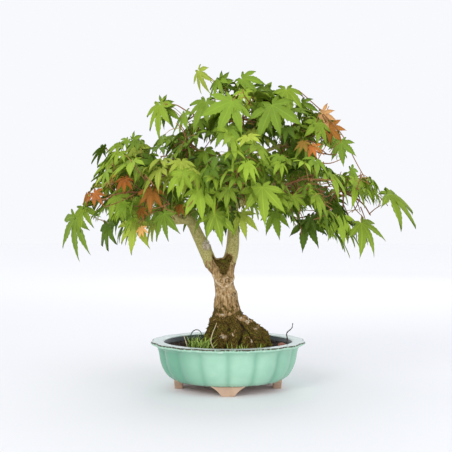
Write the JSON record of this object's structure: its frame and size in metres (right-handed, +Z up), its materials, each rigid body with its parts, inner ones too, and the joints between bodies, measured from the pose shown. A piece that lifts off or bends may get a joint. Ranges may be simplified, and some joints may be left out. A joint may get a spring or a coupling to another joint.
{
  "type": "potted japanese maple bonsai",
  "caption": "Small japanese maple tree trained as a bonsai, with forked trunk, spreading crown of palmate leaves and a glazed fluted oval pot on short feet",
  "frame": {"origin": "on the ground under the middle of the plant's box, which is the middle of the pot", "axes": "+Z up, +X to the right along the pot's length, -Y to the front of the pot"},
  "size_m": [0.3459, 0.2442, 0.3181],
  "materials": {
    "glaze": "celadon green stoneware glaze, glossy, with bare clay feet",
    "soil": "dark damp potting soil",
    "bark": "smooth olive to tan bark, mossy at the foot",
    "moss": "bright green moss and grass",
    "pebble": "reddish brown stone",
    "leaves": "thin bright green leaves, some turning rust and orange"
  },
  "bodies": {
    "root": {"pot": "glaze", "soil": "soil", "trunk": "bark", "limb_left": "bark", "limb_left_outer": "bark", "leader": "bark", "leader_top": "bark", "bough_left_front": "bark", "bough_left_back": "bark", "bough_front": "bark", "bough_right": "bark", "bough_right_front": "bark", "bough_right_back": "bark", "bough_back": "bark", "bough_upper_left": "bark", "bough_upper_right": "bark", "moss_tuft": "moss", "pebble": "pebble", "dry_stalk": "bark", "foliage_apex": "leaves", "foliage_upper_left": "leaves", "foliage_upper_right": "leaves", "foliage_left_outer": "leaves", "foliage_left_front": "leaves", "foliage_left_back": "leaves", "foliage_front": "leaves", "foliage_back": "leaves", "foliage_right_outer": "leaves", "foliage_right_front": "leaves", "foliage_right_back": "leaves"}
  },
  "joints": []
}
